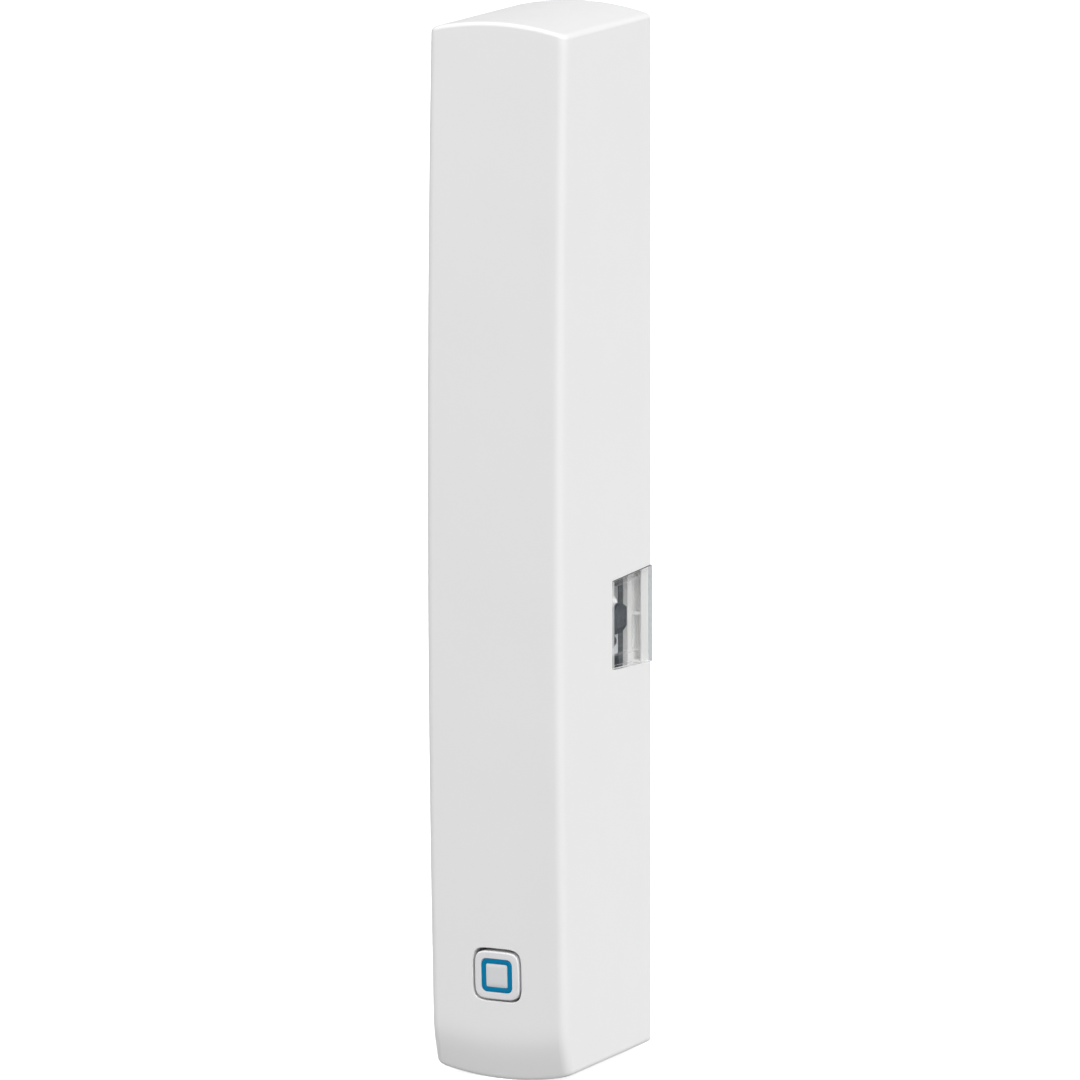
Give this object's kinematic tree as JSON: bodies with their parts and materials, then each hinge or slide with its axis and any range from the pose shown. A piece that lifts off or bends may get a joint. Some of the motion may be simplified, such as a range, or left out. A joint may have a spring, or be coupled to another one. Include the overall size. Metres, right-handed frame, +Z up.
{
  "type": "optical window contact sensor",
  "caption": "Slim white wireless window and door contact with an optical side window, a square system key with a blue light ring, a pull-off front cap and an inner battery holder.",
  "frame": {"origin": "centre of the rear mounting face, on the adhesive strip, at mid-height and mid-width", "axes": "+Z up along the housing, +Y out of the rear face into the window frame, -Y the visible front, +X to the right seen from the front, on the sensor window's side"},
  "size_m": [0.0144, 0.02, 0.102],
  "materials": {
    "cap_white": "satin-gloss moulded white",
    "base_white": "matt moulded white",
    "key_white": "satin-gloss moulded white",
    "ring_blue": "blue light-guide plastic",
    "window_clear": "clear moulded plastic, polished",
    "lens_clear": "clear epoxy",
    "lens_dark": "dark infrared-filter epoxy",
    "optics_black": "dark grey moulded",
    "pcb_laminate": "solder mask over laminate",
    "chip_black": "moulded component black",
    "spring_steel": "stainless spring steel",
    "nickel_plate": "nickel plate",
    "battery_sleeve": "plain shrink sleeve",
    "seal_black": "matt",
    "led_white": "moulded",
    "adhesive_foam": "matt foam with paper liner",
    "antenna_insulation": "wire insulation",
    "ferrite_grey": "ferrite"
  },
  "bodies": {
    "base": {"base_plate": "base_white", "adhesive_strip": "adhesive_foam", "sensor_window": "window_clear", "battery_holder": "base_white", "button_tower": "base_white", "button_switch_body": "chip_black", "button_switch_cover": "spring_steel", "tamper_switch_body": "chip_black", "tamper_switch_cover": "spring_steel", "main_pcb": "pcb_laminate", "microcontroller": "chip_black", "radio_shield": "nickel_plate", "crystal": "nickel_plate", "boost_inductor": "ferrite_grey", "emitter_driver": "chip_black", "status_led": "led_white", "buffer_capacitor": "nickel_plate", "antenna_wire": "antenna_insulation", "ir_emitter": "lens_clear", "ir_receiver": "lens_dark", "light_barrier": "optics_black", "battery_can": "spring_steel", "battery_sleeve": "battery_sleeve", "battery_negative_cap": "nickel_plate", "battery_seal": "seal_black", "battery_positive_cap": "nickel_plate", "positive_contact": "nickel_plate", "negative_contact": "nickel_plate", "negative_contact_spring": "spring_steel"},
    "cap": {"front_cap": "cap_white"},
    "button": {"button_key": "key_white", "light_guide": "ring_blue", "key_core": "key_white"},
    "button_plunger": {"button_switch_plunger": "base_white"},
    "tamper_plunger": {"tamper_switch_plunger": "base_white"}
  },
  "joints": [
    {"name": "cap_pull", "type": "slide", "parent": "base", "child": "cap", "axis": [0, -1, 0], "range_m": [0, 0.03]},
    {"name": "button_press", "type": "slide", "parent": "base", "child": "button", "axis": [0, 1, 0], "range_m": [0, 0.0003], "stiffness_N_per_m": 5000},
    {"name": "tact_press", "type": "slide", "parent": "base", "child": "button_plunger", "axis": [0, 1, 0], "range_m": [0, 0.0003]},
    {"name": "tamper_release", "type": "slide", "parent": "base", "child": "tamper_plunger", "axis": [0, -1, 0], "range_m": [0, 0.0003]}
  ],
  "couplings": [
    {"joint": "tact_press", "follows": "button_press", "ratio": 1},
    {"joint": "tamper_release", "follows": "cap_pull", "ratio": 0.01}
  ]
}
